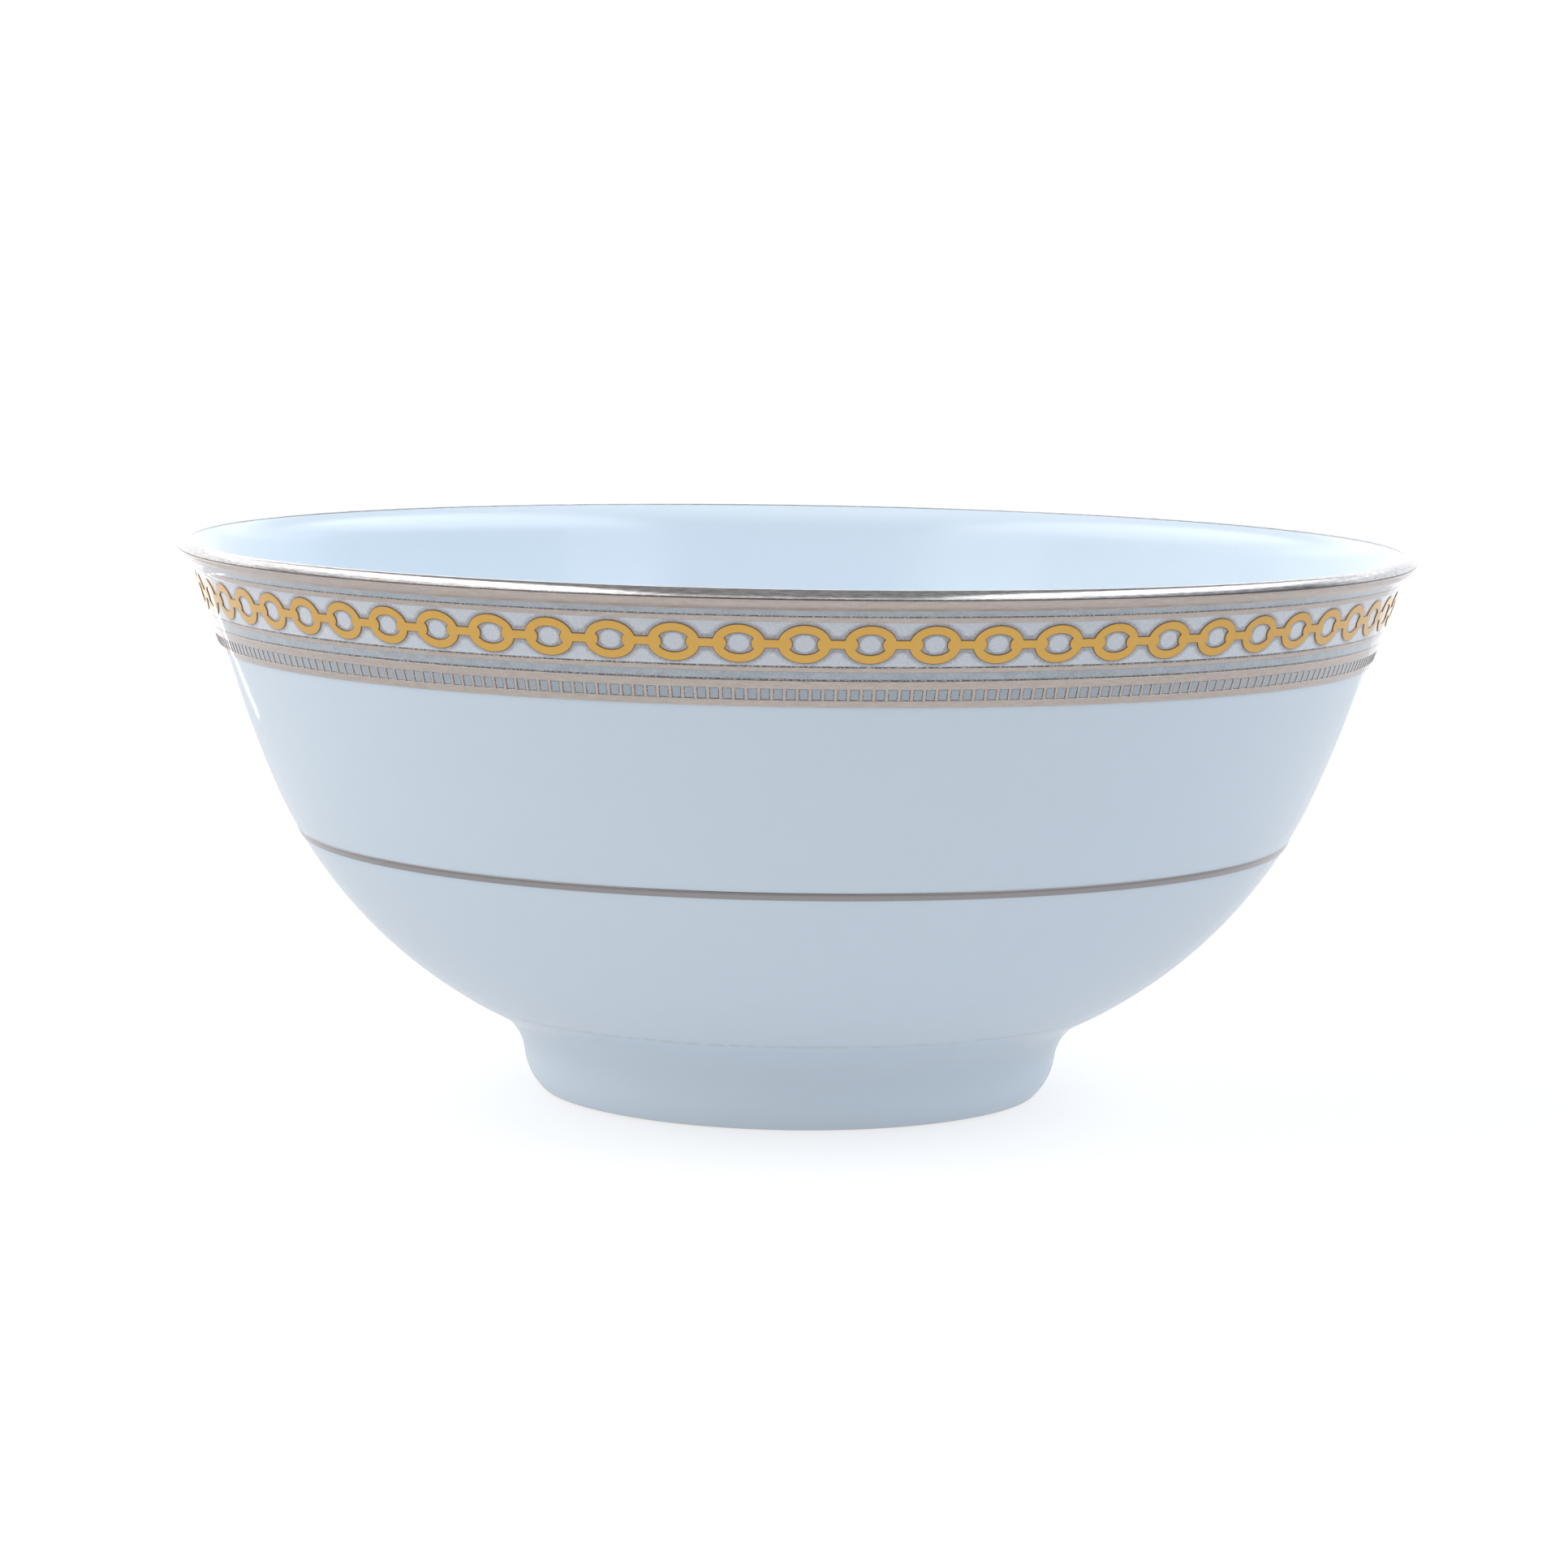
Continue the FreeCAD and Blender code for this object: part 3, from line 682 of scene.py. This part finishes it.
def glaze_coat():
    """The glaze over the whole bowl: floor, inside, lip, outside, foot and toe."""
    belly = OUTER["belly"]
    stop_angle = math.degrees(math.asin((TOE.centre[1] - TOE_GLAZE_STOP) / TOE.radius))
    inside = [arc.cut(1, 0) for arc in reversed(INNER)]
    outside = [OUTER["lip"], OUTER["flare"], OUTER["wall"],
               belly.cut(0, belly.part_at(SLIP.start - 180)), SLIP,
               SIDE.cut(SIDE.part_at(SLIP.end - 180), 1),
               TOE.cut(0, TOE.part_at(-stop_angle))]
    floor = FLOOR_HEIGHT + WALL
    skin = flat_floor(floor) + sampled(inside, 0)
    skin += seamed(sampled(outside, 0)[1:])
    clay = sampled(inside, -GLAZE, HIDDEN_SPACING, HIDDEN_TURN)
    clay += sampled(outside, -GLAZE, HIDDEN_SPACING, HIDDEN_TURN)[1:]
    piece = turned("porcelain_glaze", skin + clay[::-1] + [(0, floor - GLAZE)], closed=False)
    finished(piece, "glaze_coat", GLAZE_FINISH)


def under_skin(widest, lift):
    """Points of the bowl's underside from a radius in to the edge of the flat floor."""
    belly, turn = OUTER["belly"], OUTER["turn"]
    if widest > turn.point(0.0)[0]:
        return sampled([belly.cut(belly.part_at_radius(widest), 1), turn], lift)
    return sampled([turn.cut(turn.part_at_radius(widest), 1)], lift)


def foot_well_glaze():
    """Glaze inside the foot, its lower edge pulled round by the kiln."""
    wall = FOOT_INNER_RADIUS - GLAZE
    skin = [(FOOT_INNER_RADIUS, WELL_GLAZE_STOP),
            (FOOT_INNER_RADIUS - GLAZE * 0.7, WELL_GLAZE_STOP + GLAZE * 0.3),
            (wall, WELL_GLAZE_STOP + GLAZE)]
    corner = under_skin(wall, 0)
    skin += [(wall, corner[0][1] - WELL_CORNER),
             (wall - WELL_CORNER * 0.3, corner[0][1] - WELL_CORNER * 0.35)]
    skin += [point for point in corner if point[0] < wall - WELL_CORNER]
    skin += flat_floor(FLOOR_HEIGHT)[::-1]
    clay = under_skin(FOOT_INNER_RADIUS, -GLAZE)
    outline = skin + [(0, FLOOR_HEIGHT + GLAZE)] + clay[::-1]
    piece = turned("foot_well_glaze_coat", outline)
    finished(piece, "foot_well_glaze", WELL_FINISH)


def foot_ring():
    """Bare ring of clay: only its land and the bevel inside it show."""
    clay_radius = SIDE.point(0.0, -GLAZE)[0]
    land = FOOT_INNER_RADIUS + FOOT_INNER_BEVEL
    outline = sampled([SIDE, TOE], -GLAZE)
    outline += [(land + 0.15 * MM, 0), (land - 0.1 * MM, 0.05 * MM),
                (FOOT_INNER_RADIUS + 0.08 * MM, FOOT_INNER_BEVEL - BEVEL_SOFT),
                (FOOT_INNER_RADIUS, FOOT_INNER_BEVEL + BEVEL_SOFT)]
    top = [point for point in under_skin(clay_radius, -GLAZE) if point[0] > FOOT_INNER_RADIUS]
    piece = turned("foot_ring_clay", outline + top[::-1])
    finished(piece, "foot_ring", CLAY_FINISH)


def ring(node, material, films):
    """A band or line round the outside, between the heights of its solid."""
    low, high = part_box(node)
    start = -LIP_BAND_OVERLAP if node == "lip_band" else distance_at_height(high.z)
    outline = film_outline(start, distance_at_height(low.z), films * FILM)
    piece = turned(node + "_print", outline)
    finished(piece, node, material)


glaze_coat()
foot_well_glaze()
foot_ring()
ring("lip_band", LIP_FINISH, 2)
for node in ("wide_band", "upper_line", "lower_line"):
    ring(node, PLATINUM_FINISH, 1)
for node in ("ladder_upper_rail", "ladder_lower_rail"):
    ring(node, PLATINUM_FINISH, 2)
# grey stripes: painted shade of the glaze between the metal lines
for node in ("upper_stripe", "lower_stripe"):
    ring(node, GREY_FINISH, 1)
# ladder windows: painted shade of the glaze between the rungs and rails
ring("ladder_ground", WINDOW_FINISH, 1)
# dark keylines: painted shade along the edges of the metal lines
for node in ("upper_keyline", "middle_keyline", "lower_keyline"):
    ring(node, KEYLINE_FINISH, 1)
# chain ground: pale glaze with painted shade round the gold
ring("chain_ground", CHAIN_GROUND_FINISH, 1)
ring("belly_line", BELLY_FINISH, 2)
kept("bowl_body", CLAY_FINISH)
kept("luting_slip", SLIP_FINISH)
kept("gold_chain", GOLD_FINISH)
# dark outline: painted shadow round the raised gold
kept("chain_outline", OUTLINE_FINISH)
kept("ladder_rungs", PLATINUM_FINISH)


# Table, light and camera -----------------------------------------------------------------------

TABLE_SIZE = 0.8
TABLE_DROP = 0.02 * MM        # under the foot, so that the two never share a plane
TABLE_GLOW = 0.63
CAMERA_PLACE = (0.0, -0.893086, 0.163858)
CAMERA_YAW = -0.1157
CAMERA_PITCH = 6.819
CAMERA_ROLL = 0.905
CAMERA_LENS = 110.51
SENSOR = 36.0

# Room round the bowl. Directions are radians from straight behind the camera, heights the upward
# part of a unit vector, and levels are times plain white.
EDGE = 0.04                   # softness of a box's edge
GAP = (math.radians(-42), math.radians(25))     # dim gap behind the camera
GAP_LEVEL = 0.28
SIDE_BOXES = ((-1.0, -0.40), (0.45, 0.95))
SIDE_BOX_LEVEL = 0.7
WINDOW = (0.42, 0.62)         # long window over the camera
WINDOW_LEVEL = 0.8
WALL_LEVEL = 0.41
WALL_UPPER = (0.30, 0.42)     # height from which the walls are brighter, and by how much
BACK_LEVEL = 0.85             # bright strip behind the bowl, for the ends of the lip
CEILING_HEIGHT = 0.55
CEILING_LEVEL = 0.38          # dim band from front to back, mirrored in the top of the lip
CEILING_SIDES = 2.9
BACKDROP = 1.05               # what the camera sees past the table

STRIP_PLACE = (-0.185, 0.145, 0.043)
STRIP_AIM = (-0.104, -0.028, 0.085)
STRIP_SIZE = (0.006, 0.04)
STRIP_POWER = 0.002


def table():
    """White table top that the bowl stands on. It glows, less for its light on the bowl than to
    the camera, so that it stays white under a faint shadow."""
    bpy.ops.object.select_all(action="DESELECT")
    bpy.ops.mesh.primitive_plane_add(size=TABLE_SIZE, location=(0, 0, -TABLE_DROP))
    top = bpy.context.object
    top.name = "table_top"
    finish = Finish("table_white")
    fleck = finish.noise(4 * MM, 2.0)
    colour = finish.blend(fleck, rgb(0.41, 0.41, 0.42), rgb(0.43, 0.43, 0.44))
    seen = finish.add("LightPath", {}, {}, "Is Camera Ray")
    glow = finish.blend(seen, rgb(0.53, 0.54, 0.55), rgb(1.0, 1.0, 1.0))
    top.data.materials.append(finish.surface({
        "Base Color": colour, "Roughness": 0.9, "Specular IOR Level": 0.0,
        "Emission Color": glow, "Emission Strength": TABLE_GLOW}))


def studio():
    """Plain white to the camera. As light, pale walls with a dim gap behind the camera, a window
    over it, a box on each side, a bright strip at the back and a ceiling bright at its sides."""
    world = bpy.data.worlds.new("studio")
    bpy.context.scene.world = world
    room = Nodes(world)
    way = room.add("TexCoord", {}, {}, "Generated")
    across, forward, up = (room.add("SeparateXYZ", {}, {"Vector": way}, axis)
                           for axis in ("X", "Y", "Z"))
    azimuth = across.maths("ARCTAN2", forward * -1)
    gap = azimuth.between(*GAP, 2 * EDGE)
    window = up.above(WINDOW[0], EDGE) * (1 - up.above(WINDOW[1], 0.05))
    left_box, right_box = (azimuth.between(*box, EDGE) for box in SIDE_BOXES)
    behind = forward.above(0.45, 0.3) * (1 - up.above(0.45, 0.2))
    walls = WALL_LEVEL + up.above(WALL_UPPER[0], 0.05) * WALL_UPPER[1]
    walls = walls * (1.10 - across * 0.42) + behind * BACK_LEVEL
    low = (GAP_LEVEL + window * WINDOW_LEVEL) * gap + walls * (1 - gap)
    low = low + (left_box + right_box) * window * SIDE_BOX_LEVEL
    overhead = up.above(CEILING_HEIGHT, 0.3)
    aside = abs(across).above(0.45, 0.2)
    ceiling = CEILING_LEVEL + aside * (CEILING_SIDES + across * 0.3)
    level = low * (1 - overhead) + ceiling * overhead
    tint = room.blend(across.above(0.45, 0.9), rgb(0.97, 0.98, 1.0), rgb(0.88, 0.93, 1.0))
    light = room.add("Background", {}, {"Color": tint, "Strength": level})
    plain = room.add("Background", {}, {"Color": rgb(1.0, 1.0, 1.0), "Strength": BACKDROP})
    seen = room.add("LightPath", {}, {}, "Is Camera Ray")
    mixed = room.add("MixShader", {}, {0: seen, 1: light, 2: plain})
    room.add("OutputWorld", {}, {"Surface": mixed}, None)


def strip_light():
    """Low narrow light behind the bowl on the left, mirrored as a streak across the bands."""
    lamp = bpy.data.lights.new("left_strip", "AREA")
    lamp.shape = "RECTANGLE"
    lamp.size, lamp.size_y = STRIP_SIZE
    lamp.energy = STRIP_POWER
    lamp.color = (0.98, 0.99, 1.0)
    light = bpy.data.objects.new("left_strip", lamp)
    light.location = STRIP_PLACE
    facing = Vector(STRIP_AIM) - Vector(STRIP_PLACE)
    light.rotation_euler = facing.to_track_quat("-Z", "Y").to_euler()
    light.visible_camera = False
    bpy.context.scene.collection.objects.link(light)


def camera():
    """Camera a little over the rim, with its slight turn and tilt."""
    yaw, pitch, roll = (math.radians(angle)
                        for angle in (CAMERA_YAW, CAMERA_PITCH, CAMERA_ROLL))
    right = Vector((math.cos(yaw), -math.sin(yaw), 0))
    ahead = Vector((math.cos(pitch) * math.sin(yaw), math.cos(pitch) * math.cos(yaw),
                    -math.sin(pitch)))
    above = right.cross(ahead)
    turned_right = math.cos(roll) * right + math.sin(roll) * above
    turned_up = math.cos(roll) * above - math.sin(roll) * right
    data = bpy.data.cameras.new("camera")
    data.lens = CAMERA_LENS
    data.sensor_width = SENSOR
    lens = bpy.data.objects.new("camera", data)
    lens.matrix_world = Matrix.Translation(CAMERA_PLACE) @ Matrix(
        (turned_right, turned_up, -ahead)).transposed().to_4x4()
    bpy.context.scene.collection.objects.link(lens)
    bpy.context.scene.camera = lens


table()
studio()
strip_light()
camera()
bpy.context.scene.view_settings.view_transform = "Standard"
